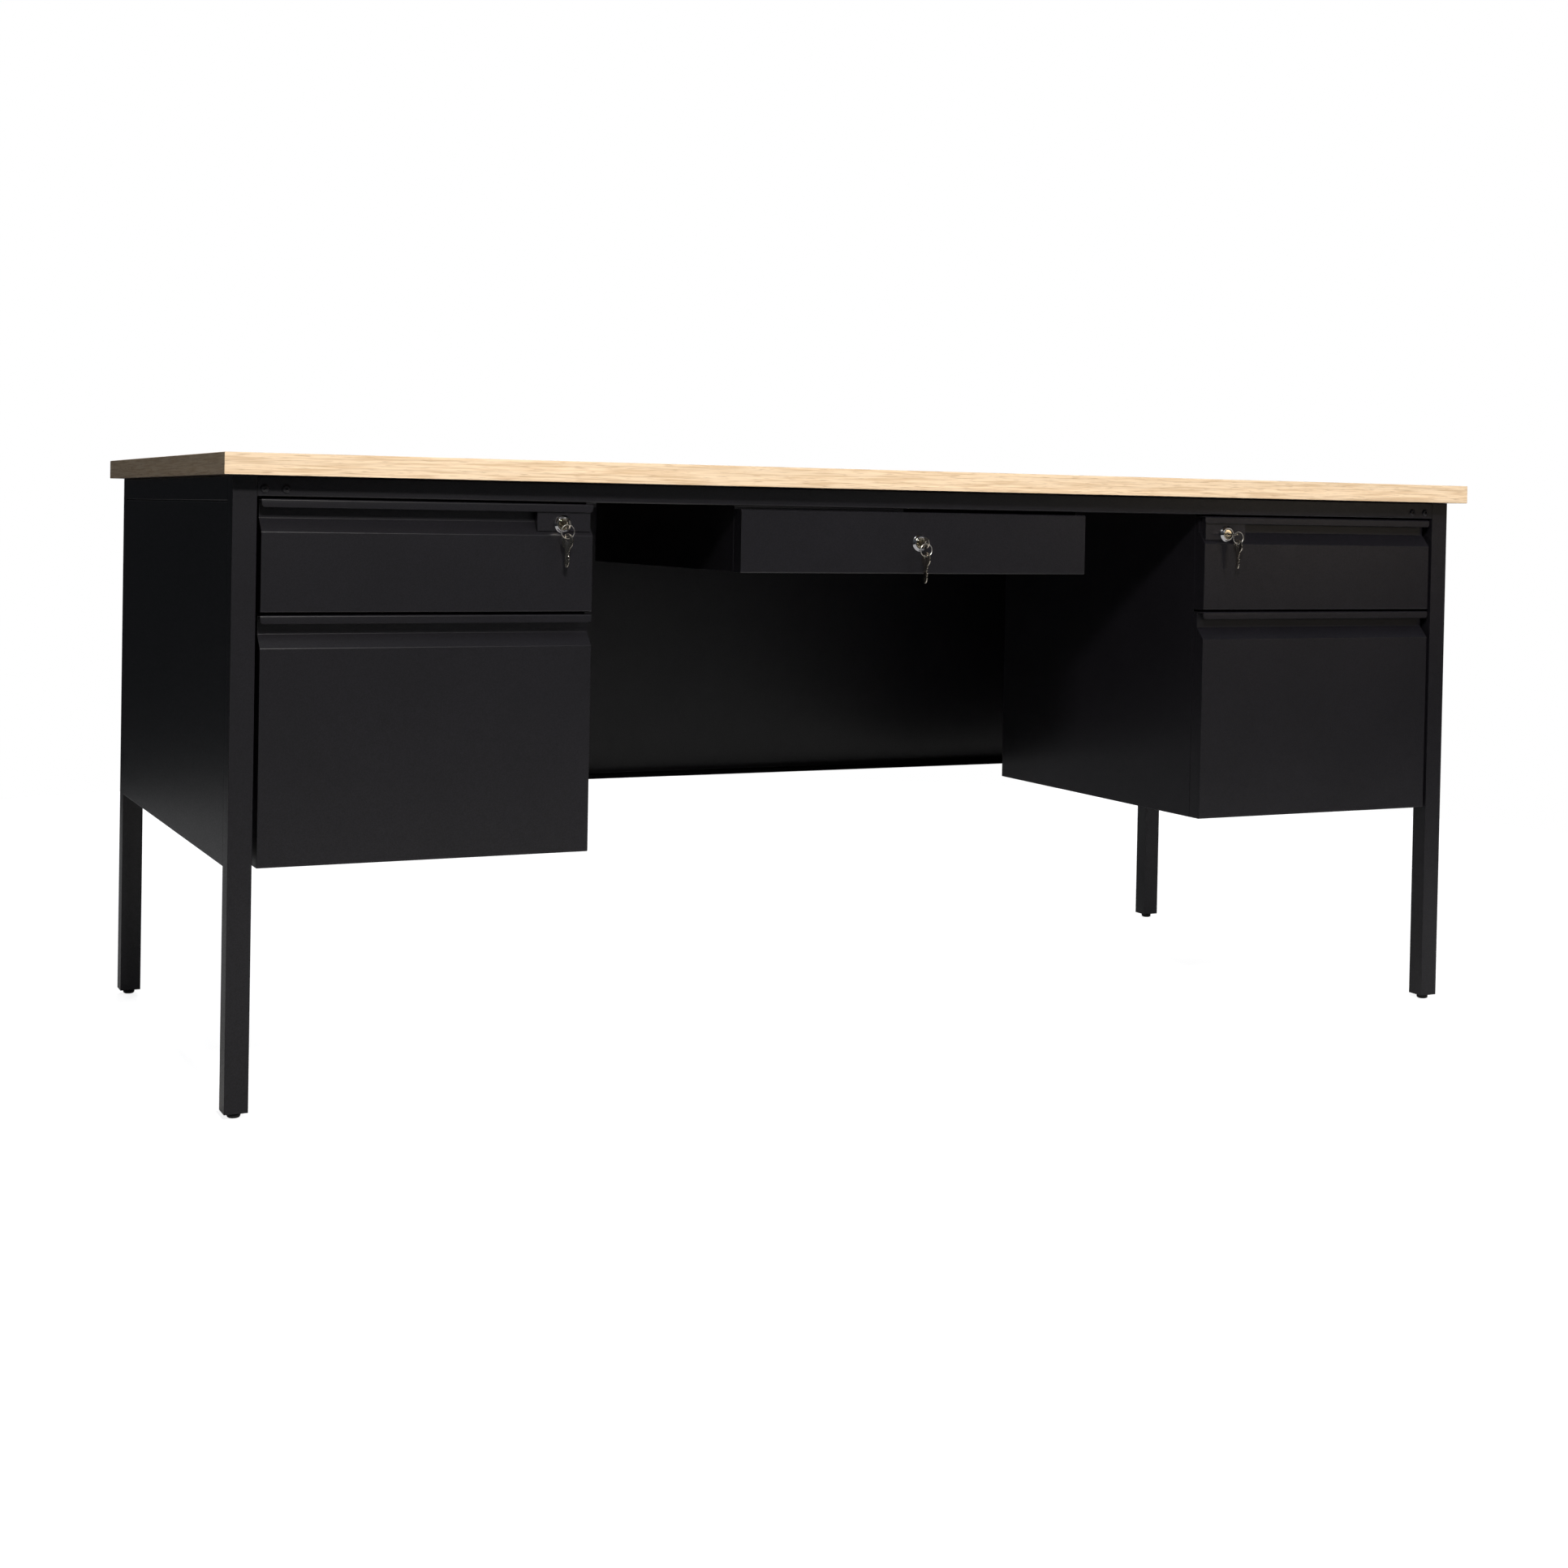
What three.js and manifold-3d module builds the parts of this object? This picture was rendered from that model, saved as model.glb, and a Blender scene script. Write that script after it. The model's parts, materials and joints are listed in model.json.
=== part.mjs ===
// Double pedestal teacher desk: a banded laminate top on a steel frame, with a box drawer and
// a file drawer in each pedestal and a shallow drawer over the kneehole.
// Millimetres, +Z up, origin on the floor under the middle of the top. -Y is the drawer side.
import * as THREE from 'three';
import { mergeVertices } from 'three/addons/utils/BufferGeometryUtils.js';
import Module from 'manifold-3d';

const wasm = await Module();
wasm.setup();

// ---- driving dimensions ----
const DESK = { width: 1829, depth: 762, height: 762 };
const CLEAR = 0.3; // gap between pieces that touch
const SHEET = 1.2; // steel sheet
const BEND = 1.6; // bend radius at the middle of the sheet

const TOP = { thickness: 25.4, band: 2.6 };
const OVERHANG = { side: 15, front: 25, rear: 29 };
const LEG = { x: 28, y: 25.4, wall: 1.6, lift: 6.5, plate: 3, bore: 4.4 };
const GLIDE = { radius: 8, height: 6, side: 3.6, chamfer: 0.8, neck: 5.5, stem: 4, point: 1, reach: 30 };
const RAIL = { height: 23.5, flange: 20 };
const SIDE_RAIL = { height: 29.5, flange: 20 };
const SKIRT_BOTTOM = 286.5; // lower edge of end panels, pedestals and modesty panel
const PANEL_FLANGE = 20;
const MODESTY = { inset: 0.5, shelf: 48, bend: 4, hem: 8 };

const CASE = { inner: 459.5, outer: 866, length: 487 };
const FRONT = { depth: 22, caseGap: 0.6 };
const PULL = { lip: 10, mouth: 12.5, slope: 16, depth: 14, corner: 4 };
const BOX_FRONT = { bottom: 579.5, top: 710.5 };
const FILE_FRONT = { bottom: SKIRT_BOTTOM, top: 576.7 };
const CENTRE_FRONT = { half: 259, bottom: 628, top: 708.5 };

const SLIDE_SPACE = 12.7; // room for a slide on each side of a drawer
const SLIDE = { length: 457, half: 18, lip: 9, midOff: 3, midHalf: 15.4, midLip: 7.5 };
const RUNNER = { box: { off: 3, half: 15.4 }, file: { off: 6.2, half: 12.4 } };
const TRAY_LENGTH = 470;
const TRAYS = {
  box: { bottom: 586, top: 668, slide: 620 },
  file: { bottom: 294, top: 538, slide: 420 },
  centre: { bottom: 634, top: 690, slide: 662 },
};
const HANGER = { flange: 20, bottom: 629 };

const LOCK = {
  radius: 11.3, rim: 1.4, nose: 8.5, barrel: 9.5, hole: 10.3, bore: 7, plug: 6.7,
  length: 21, proud: 4.6, chamfer: 0.6, recess: 1.2,
};
const CAM = { width: 10, thickness: 2, side: 30, centre: 46 };
const LOCK_FROM_END = 38.5; // lock axis to the kneehole end of a drawer front
const LOCK_DROP = 24.5; // lock axis below the top of a box drawer front
const PLATE = { inset: 2.5, width: 69, recess: 2.4, flange: 8 };
const KEY = { length: 41, bowLong: 19, bowWide: 15, thickness: 2, blade: 3.4, hole: 2.7, holeAt: 6.8 };
const KEY_OUT = 24; // how far a turned key stands out from its lock face
const KEY_CUTS = [1.1, 2.0, 0.7, 1.7, 1.2]; // depths of the cuts along the blade
const RING = { radius: 8.3, wire: 0.6 };
const KEY_TIP = 2; // size of the chamfer at a blade's tip
const PLAY = 0.6; // slack of a ring in a key's hole
const RING_LEAN = 0.95; // how far a ring leans aside on a level key, in radians

// ---- levels and planes that follow from them ----
const UNDERSIDE = DESK.height - TOP.thickness;
const FRAME_TOP = UNDERSIDE - CLEAR;
const FRONT_Y = -DESK.depth / 2 + OVERHANG.front;
const REAR_Y = DESK.depth / 2 - OVERHANG.rear;
const SIDE_X = DESK.width / 2 - OVERHANG.side;
const LEG_IN_X = SIDE_X - LEG.x;
const RAIL_BOTTOM = FRAME_TOP - RAIL.height;
const CASE_FRONT = FRONT_Y + FRONT.depth + FRONT.caseGap;
const TRAY_FRONT = CASE_FRONT;
const SLIDE_FRONT = CASE_FRONT + 4;
const LOCK_X = CASE.inner + LOCK_FROM_END;
const LOCK_Z = BOX_FRONT.top - LOCK_DROP;
const CENTRE_LOCK_Z = (CENTRE_FRONT.bottom + CENTRE_FRONT.top) / 2;

// ---- colours and finishes ----
const FINISH = {
  steel: { color: 0x2a292c, roughness: 0.55, metalness: 0.1 },
  galvanised: { color: 0x9a9c9e, roughness: 0.42, metalness: 0.9 },
  laminate: { color: 0xe6c79c, roughness: 0.45, metalness: 0.0 },
  band: { color: 0xe9cda2, roughness: 0.5, metalness: 0.0 },
  chrome: { color: 0xd6d6d8, roughness: 0.15, metalness: 1.0 },
  brass: { color: 0xc8ab74, roughness: 0.25, metalness: 1.0 },
  nylon: { color: 0x1b1b1c, roughness: 0.6, metalness: 0.0 },
};

const desk = new THREE.Group();

function add(name, geometry, finish, parent = desk) {
  const mesh = new THREE.Mesh(geometry, new THREE.MeshStandardMaterial(FINISH[finish]));
  mesh.name = name;
  parent.add(mesh);
  return mesh;
}

// ---- solids ----
function welded(geometry) {
  geometry.deleteAttribute('normal');
  geometry.deleteAttribute('uv');
  const merged = mergeVertices(geometry, 1e-4);
  const corners = merged.index.array;
  const kept = [];
  for (let i = 0; i < corners.length; i += 3) {
    const [a, b, c] = [corners[i], corners[i + 1], corners[i + 2]];
    if (a !== b && b !== c && c !== a) kept.push(a, b, c);
  }
  merged.setIndex(kept);
  return merged;
}

function solid(geometry) {
  const merged = welded(geometry);
  return new wasm.Manifold(new wasm.Mesh({
    numProp: 3,
    vertProperties: new Float32Array(merged.attributes.position.array),
    triVerts: new Uint32Array(merged.index.array),
  }));
}

function surface(manifold) {
  const mesh = manifold.getMesh();
  const geometry = new THREE.BufferGeometry();
  geometry.setAttribute('position', new THREE.BufferAttribute(mesh.vertProperties, 3));
  geometry.setIndex(new THREE.BufferAttribute(mesh.triVerts, 1));
  geometry.computeVertexNormals();
  return geometry;
}

function joined(...geometries) {
  return geometries.map(solid).reduce((whole, piece) => whole.add(piece));
}

function block(x0, x1, y0, y1, z0, z1) {
  const geometry = new THREE.BoxGeometry(x1 - x0, y1 - y0, z1 - z0);
  return geometry.translate((x0 + x1) / 2, (y0 + y1) / 2, (z0 + z1) / 2);
}

function extruded(outline, depth, holes = []) {
  const shape = new THREE.Shape(outline.map(([a, b]) => new THREE.Vector2(a, b)));
  shape.holes = holes.map((hole) => new THREE.Path(hole.map(([a, b]) => new THREE.Vector2(a, b))));
  return new THREE.ExtrudeGeometry(shape, { depth, bevelEnabled: false, curveSegments: 8 });
}

// outline in (y, z), swept from x0 to x1
function alongX(outline, x0, x1) {
  const turn = new THREE.Matrix4().set(0, 0, 1, x0, 1, 0, 0, 0, 0, 1, 0, 0, 0, 0, 0, 1);
  return extruded(outline, x1 - x0).applyMatrix4(turn);
}

// outline in (x, z), swept from y0 to y1
function alongY(outline, y0, y1) {
  return extruded(outline, y1 - y0).rotateX(Math.PI / 2).translate(0, y1, 0);
}

// outline in (x, y), swept from z0 to z1
function alongZ(outline, z0, z1, holes) {
  return extruded(outline, z1 - z0, holes).translate(0, 0, z0);
}

function rectangle(x0, x1, y0, y1) {
  return [[x0, y0], [x1, y0], [x1, y1], [x0, y1]];
}

function circle(x, y, radius, steps = 24) {
  return Array.from({ length: steps }, (_, i) => {
    const angle = (2 * Math.PI * i) / steps;
    return [x + radius * Math.cos(angle), y + radius * Math.sin(angle)];
  });
}

// a bore along Y through (x, z)
function boreY(x, z, radius, y0, y1) {
  return solid(alongY(circle(x, z, radius), y0, y1));
}

// a turned piece about Y: the profile lists (radius, distance out towards -Y)
function turned(profile, steps = 24) {
  const points = profile.map(([radius, out]) => new THREE.Vector2(radius, -out));
  return new THREE.LatheGeometry(points.reverse(), steps);
}

// corners of a path rounded with arcs
function roundedPath(path, radius, steps = 3) {
  const points = path.map(([a, b]) => new THREE.Vector2(a, b));
  const out = [points[0]];
  for (let i = 1; i < points.length - 1; i += 1) {
    const into = points[i].clone().sub(points[i - 1]).normalize();
    const from = points[i + 1].clone().sub(points[i]).normalize();
    const turn = Math.atan2(into.cross(from), into.dot(from));
    const side = Math.sign(turn);
    const start = points[i].clone().addScaledVector(into, -radius * Math.tan(Math.abs(turn) / 2));
    const centre = start.clone().add(new THREE.Vector2(-into.y, into.x).multiplyScalar(side * radius));
    for (let k = 0; k <= steps; k += 1) {
      out.push(start.clone().rotateAround(centre, (turn * k) / steps));
    }
  }
  out.push(points[points.length - 1]);
  return out;
}

// cross-section of a bent sheet whose middle follows the path
function bentSheet(path, bend = BEND, thickness = SHEET) {
  const middle = roundedPath(path, bend);
  const one = [];
  const other = [];
  middle.forEach((point, i) => {
    const before = middle[Math.max(i - 1, 0)];
    const after = middle[Math.min(i + 1, middle.length - 1)];
    const into = point.clone().sub(before).normalize();
    const from = after.clone().sub(point).normalize();
    const along = into.clone().add(from).normalize();
    const mitre = i > 0 && i < middle.length - 1 ? Math.sqrt((1 + into.dot(from)) / 2) : 1;
    const offset = new THREE.Vector2(-along.y, along.x).multiplyScalar(thickness / 2 / mitre);
    one.push([point.x + offset.x, point.y + offset.y]);
    other.push([point.x - offset.x, point.y - offset.y]);
  });
  return [...one, ...other.reverse()];
}

const half = SHEET / 2;

// ---- top ----
function makeTop() {
  const [x, y] = [DESK.width / 2, DESK.depth / 2];
  const inside = rectangle(-x + TOP.band, x - TOP.band, -y + TOP.band, y - TOP.band);
  add('edge_band', alongZ(rectangle(-x, x, -y, y), UNDERSIDE, DESK.height, [inside]), 'band');
  const [a, b] = [x - TOP.band - CLEAR, y - TOP.band - CLEAR];
  add('desktop', block(-a, a, -b, b, UNDERSIDE, DESK.height), 'laminate');
}

// ---- legs and levelling glides ----
function makeLeg(name, sideX, sideY, outerY) {
  const x0 = sideX > 0 ? SIDE_X - LEG.x : -SIDE_X;
  const y0 = sideY > 0 ? outerY - LEG.y : outerY;
  const outer = rectangle(x0, x0 + LEG.x, y0, y0 + LEG.y);
  const inner = rectangle(x0 + LEG.wall, x0 + LEG.x - LEG.wall, y0 + LEG.wall, y0 + LEG.y - LEG.wall);
  const [cx, cy] = [x0 + LEG.x / 2, y0 + LEG.y / 2];
  const tube = alongZ(outer, LEG.lift, FRAME_TOP, [inner]);
  const plate = alongZ(outer, LEG.lift, LEG.lift + LEG.plate, [circle(cx, cy, LEG.bore, 20)]);
  add(`leg_${name}`, surface(joined(tube, plate)), 'steel');

  const top = LEG.lift + GLIDE.reach;
  const { radius, chamfer, side, neck, height, stem, point } = GLIDE;
  const profile = [[0, 0], [radius - chamfer, 0], [radius, chamfer], [radius, side], [neck, height],
    [stem, height], [stem, top - point], [stem - point, top], [0, top]];
  const points = profile.map(([r, z]) => new THREE.Vector2(r, z));
  const glide = new THREE.LatheGeometry(points, 20).rotateX(Math.PI / 2).translate(cx, cy, 0);
  add(`glide_${name}`, surface(solid(glide)), 'nylon');
}

function makeLegs() {
  for (const [endName, sideY, outerY] of [['front', -1, FRONT_Y], ['rear', 1, REAR_Y]]) {
    makeLeg(`${endName}_left`, -1, sideY, outerY);
    makeLeg(`${endName}_right`, 1, sideY, outerY);
  }
}

// ---- rails and panels ----
function channel(outer, inner, top, bottom) {
  return bentSheet([[inner, top - half], [outer, top - half], [outer, bottom + half],
    [inner, bottom + half]]);
}

function makeRails() {
  const length = LEG_IN_X - CLEAR;
  const front = channel(FRONT_Y + half, FRONT_Y + RAIL.flange, FRAME_TOP, RAIL_BOTTOM);
  add('front_rail', alongX(front, -length, length), 'steel');
  const rear = channel(REAR_Y - half, REAR_Y - RAIL.flange, FRAME_TOP, RAIL_BOTTOM);
  add('rear_rail', alongX(rear, -length, length), 'steel');
  const shelfFront = REAR_Y - MODESTY.shelf;
  const skin = REAR_Y - MODESTY.inset - half;
  // the top flange turns up inside the frame, behind the rail's lower flange
  const hemY = REAR_Y - RAIL.flange - MODESTY.bend;
  const flangeZ = RAIL_BOTTOM - CLEAR - half;
  const panel = bentSheet([[hemY, flangeZ + MODESTY.hem], [hemY, flangeZ], [skin, flangeZ],
    [skin, SKIRT_BOTTOM + half], [shelfFront, SKIRT_BOTTOM + half]], MODESTY.bend);
  add('modesty_panel', alongX(panel, -length, length), 'steel');
}

function makeSide(name, side) {
  const y0 = FRONT_Y + LEG.y + CLEAR;
  const y1 = REAR_Y - LEG.y - CLEAR;
  const face = side * (SIDE_X - half);
  const seam = FRAME_TOP - SIDE_RAIL.height;
  const rail = channel(face, side * (SIDE_X - SIDE_RAIL.flange), FRAME_TOP, seam);
  add(`side_rail_${name}`, alongY(rail, y0, y1), 'steel');
  const panel = channel(face, side * (SIDE_X - PANEL_FLANGE), seam - CLEAR, SKIRT_BOTTOM);
  add(`end_panel_${name}`, alongY(panel, y0, y1), 'steel');
}

// ---- pedestal cases, drawer hangers and slides ----
function spanX(side, near, far) {
  return side > 0 ? [near, far] : [-far, -near];
}

function openBox(x, y, z, wall, openings) {
  const shell = solid(block(...x, ...y, ...z));
  const [x0, x1] = [x[0] + wall, x[1] - wall];
  const [y0, y1] = [y[0] + (openings.front ? -1 : wall), y[1] - wall];
  const [z0, z1] = [z[0] + wall, z[1] + (openings.top ? 1 : -wall)];
  return shell.subtract(solid(block(x0, x1, y0, y1, z0, z1)));
}

function makeCase(name, side) {
  const y = [CASE_FRONT, CASE_FRONT + CASE.length];
  const shell = openBox(spanX(side, CASE.inner, CASE.outer), y, [SKIRT_BOTTOM, FRAME_TOP], SHEET,
    { front: true });
  add(`pedestal_case_${name}`, surface(shell), 'steel');
}

// a slide member: a channel whose web stands `off` from the wall at x, opening towards the drawer
function slideMember(x, toDrawer, off, halfHeight, lip, z) {
  const web = x + toDrawer * (off + half);
  const end = x + toDrawer * (off + lip);
  const outline = bentSheet([[end, z + halfHeight - half], [web, z + halfHeight - half],
    [web, z - halfHeight + half], [end, z - halfHeight + half]], 1);
  return alongY(outline, SLIDE_FRONT, SLIDE_FRONT + SLIDE.length);
}

function makeSlides(drawer, side, z, hasMiddle) {
  const [x0, x1] = spanX(side, CASE.inner + SHEET, CASE.outer - SHEET);
  for (const [hand, x, toDrawer] of [['a', x0, 1], ['b', x1, -1]]) {
    const outer = slideMember(x, toDrawer, CLEAR, SLIDE.half, SLIDE.lip, z);
    add(`slide_${drawer}_${hand}`, outer, 'galvanised');
    if (hasMiddle) {
      const middle = slideMember(x, toDrawer, SLIDE.midOff, SLIDE.midHalf, SLIDE.midLip, z);
      add(`mid_slide_${drawer}_${hand}`, middle, 'galvanised');
    }
  }
}

// hangs the centre drawer under the top, with the drawer's track welded to its inner side
function makeHanger(name, side) {
  const x = side * (CENTRE_FRONT.half - half);
  const outline = bentSheet([[x, HANGER.bottom], [x, FRAME_TOP - half],
    [side * (CENTRE_FRONT.half + HANGER.flange), FRAME_TOP - half]]);
  const plate = alongY(outline, CASE_FRONT, CASE_FRONT + TRAY_LENGTH);
  const track = slideMember(x - side * half, -side, -SHEET / 4, SLIDE.half, SLIDE.lip, TRAYS.centre.slide);
  add(`drawer_hanger_${name}`, surface(joined(plate, track)), 'steel');
}

// ---- drawers ----
function runner(wallX, toDrawer, z, size) {
  const [a, b] = [wallX + toDrawer * size.off, wallX + toDrawer * (SLIDE_SPACE + half)];
  const [y0, y1] = [SLIDE_FRONT, SLIDE_FRONT + SLIDE.length];
  return block(Math.min(a, b), Math.max(a, b), y0, y1, z - size.half, z + size.half);
}

// an open-topped steel box between the walls at x, with a runner on each side
function tray(x, size, run) {
  const y = [TRAY_FRONT, TRAY_FRONT + TRAY_LENGTH];
  const across = [x[0] + SLIDE_SPACE, x[1] - SLIDE_SPACE];
  const body = openBox(across, y, [size.bottom, size.top], SHEET, { top: true });
  return body.add(joined(runner(x[0], 1, size.slide, run), runner(x[1], -1, size.slide, run)));
}

// the shell of a drawer front whose pull is folded into its upper edge
function pullFront(x0, x1, bottom, top) {
  const y = FRONT_Y;
  const rim = y + half;
  const wall = y + PULL.depth + half;
  const faceTop = top - PULL.lip - PULL.mouth - PULL.slope;
  const slopeTop = faceTop + PULL.slope;
  const sheet = bentSheet([[y + FRONT.depth, bottom + half], [rim, bottom + half], [rim, faceTop],
    [wall, slopeTop], [wall, top - half], [rim, top - half], [rim, top - PULL.lip]]);
  const cap = [[y + half, bottom + half], [y + FRONT.depth, bottom + half], [y + FRONT.depth, top],
    [wall, top], [wall, slopeTop], [y + half, faceTop]];
  let shell = joined(alongX(sheet, x0, x1), alongX(cap, x0, x0 + SHEET), alongX(cap, x1 - SHEET, x1));
  for (const [edge, inward] of [[x0, 1], [x1, -1]]) {
    shell = shell.subtract(solid(lipCorner(edge, inward, top - PULL.lip)));
  }
  return shell;
}

// what is trimmed off a lower corner of the lip to leave it round
function lipCorner(edge, inward, z) {
  const radius = PULL.corner;
  const outline = [[edge - inward, z - 1], [edge + inward * radius, z - 1]];
  for (let k = 0; k <= 4; k += 1) {
    const angle = (Math.PI / 2) * (k / 4);
    outline.push([edge + inward * radius * (1 - Math.sin(angle)), z + radius * (1 - Math.cos(angle))]);
  }
  outline.push([edge - inward, z + radius]);
  return alongY(outline, FRONT_Y - 1, FRONT_Y + 2 * SHEET);
}

function makeFileDrawer(name, side) {
  const x = spanX(side, CASE.inner, CASE.outer);
  const walls = spanX(side, CASE.inner + SHEET, CASE.outer - SHEET);
  add(`file_drawer_front_${name}`, surface(pullFront(...x, FILE_FRONT.bottom, FILE_FRONT.top)), 'steel');
  add(`file_drawer_tray_${name}`, surface(tray(walls, TRAYS.file, RUNNER.file)), 'steel');
}

function makeBoxDrawer(name, side) {
  const x = spanX(side, CASE.inner, CASE.outer);
  const walls = spanX(side, CASE.inner + SHEET, CASE.outer - SHEET);
  const hole = boreY(side * LOCK_X, LOCK_Z, LOCK.hole, FRONT_Y + 1, FRONT_Y + FRONT.depth);
  const shell = pullFront(...x, BOX_FRONT.bottom, BOX_FRONT.top).subtract(hole);
  add(`box_drawer_front_${name}`, surface(shell), 'steel');
  add(`box_drawer_tray_${name}`, surface(tray(walls, TRAYS.box, RUNNER.box)), 'steel');
  makeLockPlate(name, side);
}

// the flat plate that closes the pull around a lock
function makeLockPlate(name, side) {
  const x = spanX(side, CASE.inner + PLATE.inset, CASE.inner + PLATE.inset + PLATE.width);
  const faceTop = BOX_FRONT.top - PULL.lip - PULL.mouth - PULL.slope;
  const slopeAt = (depth) => faceTop + (PULL.slope / PULL.depth) * depth + SHEET;
  const [y0, y1] = [PLATE.recess, PLATE.recess + PLATE.flange];
  const top = BOX_FRONT.top - SHEET - 2 * CLEAR;
  const ear = [[y0, slopeAt(y0)], [y1, slopeAt(y1)], [y1, top], [y0, top]]
    .map(([depth, z]) => [FRONT_Y + depth, z]);
  const low = slopeAt(y0 + SHEET);
  const face = block(...x, FRONT_Y + y0, FRONT_Y + y0 + SHEET, low, top);
  const plate = joined(face, alongX(ear, x[0], x[0] + SHEET), alongX(ear, x[1] - SHEET, x[1]));
  const hole = boreY(side * LOCK_X, LOCK_Z, LOCK.barrel + CLEAR, FRONT_Y, FRONT_Y + 2 * PLATE.flange);
  add(`lock_plate_${name}`, surface(plate.subtract(hole)), 'steel');
}

function makeCentreDrawer() {
  const x = [-CENTRE_FRONT.half, CENTRE_FRONT.half];
  const [y0, y1] = [FRONT_Y, FRONT_Y + FRONT.depth];
  const { bottom, top } = CENTRE_FRONT;
  const sheet = channel(y0 + half, y1, top, bottom);
  const cap = rectangle(y0 + half, y1, bottom + half, top - half);
  const shell = joined(alongX(sheet, ...x), alongX(cap, x[0], x[0] + SHEET), alongX(cap, x[1] - SHEET, x[1]));
  const hole = boreY(0, CENTRE_LOCK_Z, LOCK.barrel + CLEAR, y0 - 1, y0 + 5);
  // the cam swings up past the back edge of the top flange
  const camFront = y0 - CLEAR + LOCK.length - 2 * CLEAR;
  const camPath = block(-CAM.width, CAM.centre - LOCK.radius, camFront, y1 + 1, top - 2 * SHEET, top + 1);
  add('centre_drawer_front', surface(shell.subtract(hole).subtract(solid(camPath))), 'steel');

  const walls = [x[0] + SHEET, x[1] - SHEET];
  const notch = block(-2 * LOCK.radius, CAM.centre + LOCK.radius, TRAY_FRONT - 1,
    TRAY_FRONT + 2 * SHEET, CENTRE_LOCK_Z - LOCK.radius - 2, top);
  const body = tray(walls, TRAYS.centre, RUNNER.box).subtract(solid(notch));
  add('centre_drawer_tray', surface(body), 'steel');
}

// ---- locks, keys and rings ----
// a key in (along, across): the bow's tip at 0, the blade's tip at KEY.length
function keyGeometry() {
  const [a, b] = [KEY.bowLong / 2, KEY.bowWide / 2];
  const neck = Math.asin(KEY.blade / b);
  const outline = [];
  const steps = 18;
  for (let k = 0; k <= steps; k += 1) {
    const angle = neck + ((2 * Math.PI - 2 * neck) * k) / steps;
    outline.push([a + a * Math.cos(angle), b * Math.sin(angle)]);
  }
  const bladeStart = KEY.bowLong + 2;
  const pitch = (KEY.length - 3 - bladeStart) / KEY_CUTS.length;
  outline.push([KEY.length - KEY_TIP, -KEY.blade], [KEY.length, KEY_TIP - KEY.blade]);
  [...KEY_CUTS].reverse().forEach((cut, i) => {
    const at = KEY.length - 3 - pitch * (i + 0.5);
    outline.push([at + pitch * 0.2, KEY.blade - cut], [at - pitch * 0.2, KEY.blade - cut]);
  });
  outline.push([bladeStart, KEY.blade]);
  const hole = circle(KEY.holeAt, 0, KEY.hole, 16);
  return extruded(outline, KEY.thickness, [hole]).translate(0, 0, -KEY.thickness / 2);
}

// a lock with its axis along Y at the group's origin; face out is -Y
function makeLock(name, x, faceY, z, { upright, camLength, camSide, spareYaw }) {
  const lock = new THREE.Group();
  lock.position.set(x, faceY, z);
  desk.add(lock);
  const { radius, rim, nose, barrel, bore, plug, length, proud, chamfer, recess } = LOCK;
  const body = turned([[bore, -length], [barrel, -length], [barrel, CLEAR], [radius, CLEAR],
    [radius, rim], [nose + chamfer / 2, proud - chamfer], [nose, proud], [bore + chamfer, proud],
    [bore, proud - chamfer], [bore, -length]]);
  add(`lock_body_${name}`, surface(solid(body)), 'chrome', lock);

  const face = proud - recess;
  const core = turned([[0, -length - 2 * CLEAR], [plug, -length - 2 * CLEAR], [plug, face - chamfer],
    [plug - chamfer, face], [0, face]]);
  const [c0, c1] = spanX(camSide, -CAM.width / 2, camLength);
  const back = length + CLEAR;
  const cam = block(c0, c1, back, back + CAM.thickness, -CAM.width / 2, CAM.width / 2);
  const [w, h] = [KEY.thickness / 2 + CLEAR, KEY.blade + CLEAR];
  const slot = block(-w, w, -proud - 1, KEY.length - KEY_OUT + 1, -h, h);
  const cylinder = joined(core, cam).subtract(solid(upright ? slot : slot.rotateY(Math.PI / 2)));
  add(`lock_cylinder_${name}`, surface(cylinder), 'brass', lock);

  const key = add(`key_${name}`, keyGeometry(), 'chrome', lock);
  key.rotation.set(0, upright ? Math.PI / 2 : 0, Math.PI / 2, 'YXZ');
  key.position.set(0, -KEY_OUT, 0);

  const ringTop = KEY_OUT - KEY.holeAt;
  const lean = upright ? 0 : RING_LEAN;
  const ring = new THREE.TorusGeometry(RING.radius, RING.wire, 6, 24).rotateX(Math.PI / 2);
  const ringMesh = add(`key_ring_${name}`, surface(solid(ring)), 'chrome', lock);
  const reach = RING.radius + PLAY;
  ringMesh.position.set(reach * Math.sin(lean), -ringTop, -reach * Math.cos(lean));

  const spare = add(`spare_key_${name}`, keyGeometry(), 'chrome', lock);
  spare.quaternion.setFromEuler(new THREE.Euler(0, Math.PI / 2, 0))
    .premultiply(new THREE.Quaternion().setFromAxisAngle(new THREE.Vector3(0, 0, 1), spareYaw));
  const drop = RING.radius + PLAY - KEY.holeAt;
  spare.position.copy(ringMesh.position).add(new THREE.Vector3(0, 0, -drop));
}

function makeLocks() {
  const plateFace = FRONT_Y + PLATE.recess - CLEAR;
  makeLock('left', -LOCK_X, plateFace, LOCK_Z,
    { upright: true, camLength: CAM.side, camSide: 1, spareYaw: 0.78 });
  makeLock('right', LOCK_X, plateFace, LOCK_Z,
    { upright: false, camLength: CAM.side, camSide: -1, spareYaw: 0.16 });
  makeLock('centre', 0, FRONT_Y - CLEAR, CENTRE_LOCK_Z,
    { upright: true, camLength: CAM.centre, camSide: 1, spareYaw: 0.3 });
}

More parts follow.
